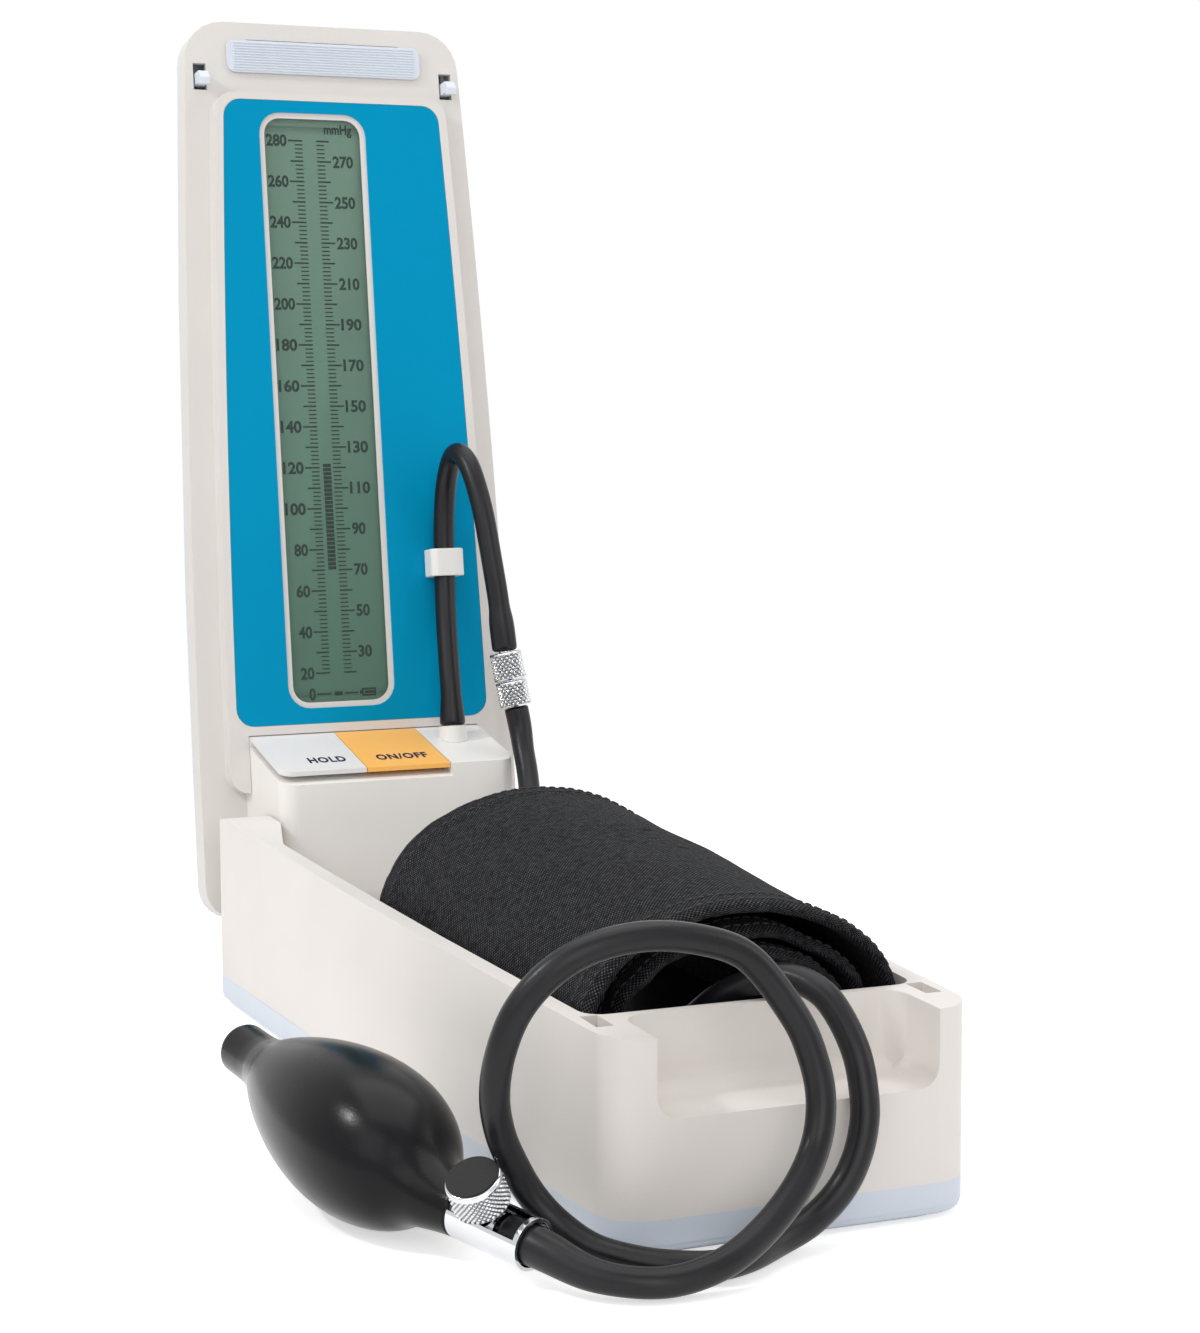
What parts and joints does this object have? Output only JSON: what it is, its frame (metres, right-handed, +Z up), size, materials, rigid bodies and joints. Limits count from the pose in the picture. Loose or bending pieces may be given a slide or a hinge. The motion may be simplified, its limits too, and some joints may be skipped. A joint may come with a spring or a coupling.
{
  "type": "mobile digital sphygmomanometer",
  "caption": "Mobile digital sphygmomanometer standing open, with a pressure column display in the lid, keys, arm cuff, hoses and an inflation bulb with release valve.",
  "frame": {"origin": "centre of the base's footprint on the table", "axes": "+X to the right seen from the front, +Y towards the hinge, +Z up"},
  "size_m": [0.1773, 0.4267, 0.3467],
  "materials": {
    "white_plastic": "satin moulded plastic",
    "blue_grey_plastic": "satin moulded plastic",
    "panel_blue": "printed film",
    "window_clear": "clear polished",
    "display_green": "matt liquid crystal",
    "white_part": "smooth",
    "board_green": "solder mask",
    "chip_black": "moulded",
    "key_grey": "satin",
    "key_orange": "satin",
    "rubber_black": "smooth",
    "rubber_foot": "matt",
    "cuff_fabric": "woven nylon",
    "chrome": "polished",
    "steel": "plain",
    "silicone": "translucent",
    "cell_wrap": "wrapped cell",
    "cap_black": "satin"
  },
  "bodies": {
    "base": {"base_tray": "white_plastic", "bottom_cover": "blue_grey_plastic", "rubber_feet": "rubber_foot", "cover_screws": "steel", "hinge_pins": "steel", "hinge_washers": "white_part", "cuff": "cuff_fabric", "bladder": "rubber_black", "cuff_hose": "rubber_black", "inflation_hose": "rubber_black", "bulb": "rubber_black", "bulb_inlet_valve": "rubber_foot", "valve_cradle": "chrome", "valve_block": "chrome"},
    "lid": {"lid_front": "white_plastic", "lid_back": "blue_grey_plastic", "lid_screws": "steel", "display_panel": "panel_blue", "display_window": "window_clear", "display_glass": "display_green", "display_carrier": "white_part", "circuit_board": "board_green", "board_chips": "chip_black", "pressure_sensor": "chip_black", "air_tube": "silicone", "buzzer": "chip_black", "key_housing": "white_plastic", "housing_screws": "steel", "key_board": "board_green", "key_pin": "steel", "batteries": "cell_wrap", "battery_contacts": "steel", "air_port": "white_part", "hose_clip": "white_part", "port_hose": "rubber_black", "coupling_socket": "chrome", "latch_springs": "steel"},
    "battery_door": {"battery_door": "blue_grey_plastic"},
    "latch": {"latch_slider": "blue_grey_plastic"},
    "hold_key": {"hold_key": "key_grey"},
    "power_key": {"power_key": "key_orange"},
    "lock_ring": {"coupling_ring": "chrome"},
    "release_valve": {"release_screw": "steel", "release_knob": "chrome", "knob_cap": "cap_black"}
  },
  "joints": [
    {"name": "lid_fold", "type": "hinge", "parent": "base", "child": "lid", "pos_m": [0, 0.1521, 0.0388], "axis": [1, 0, 0], "range_deg": [0, 99.3], "deforming": ["cuff", "bladder", "cuff_hose", "inflation_hose"]},
    {"name": "battery_door_slide", "type": "slide", "parent": "lid", "child": "battery_door", "axis": [0, -0.1288, -0.9917], "range_m": [0, 0.018]},
    {"name": "latch_slide", "type": "slide", "parent": "lid", "child": "latch", "axis": [0, 0.1288, 0.9917], "range_m": [0, 0.003], "stiffness_N_per_m": 600, "springref_m": -0.002, "deforming": ["latch_springs"]},
    {"name": "hold_key_press", "type": "hinge", "parent": "lid", "child": "hold_key", "pos_m": [0, 0.17567, 0.08515], "axis": [1, 0, 0], "range_deg": [0, 2.5], "stiffness_Nm_per_rad": 0.5, "springref_deg": -2.86},
    {"name": "power_key_press", "type": "hinge", "parent": "lid", "child": "power_key", "pos_m": [0, 0.17567, 0.08515], "axis": [1, 0, 0], "range_deg": [0, 2.5], "stiffness_Nm_per_rad": 0.5, "springref_deg": -2.86},
    {"name": "lock_ring_turn", "type": "hinge", "parent": "lid", "child": "lock_ring", "pos_m": [0.04412, 0.14685, 0.1102], "axis": [0.1539, -0.1273, -0.9799], "range_deg": [0, 180]},
    {"name": "release_knob_turn", "type": "hinge", "parent": "base", "child": "release_valve", "pos_m": [-0.08042, -0.15406, 0.0117], "axis": [-0.4233, -0.3145, 0.8496], "range_deg": [0, 270]}
  ]
}
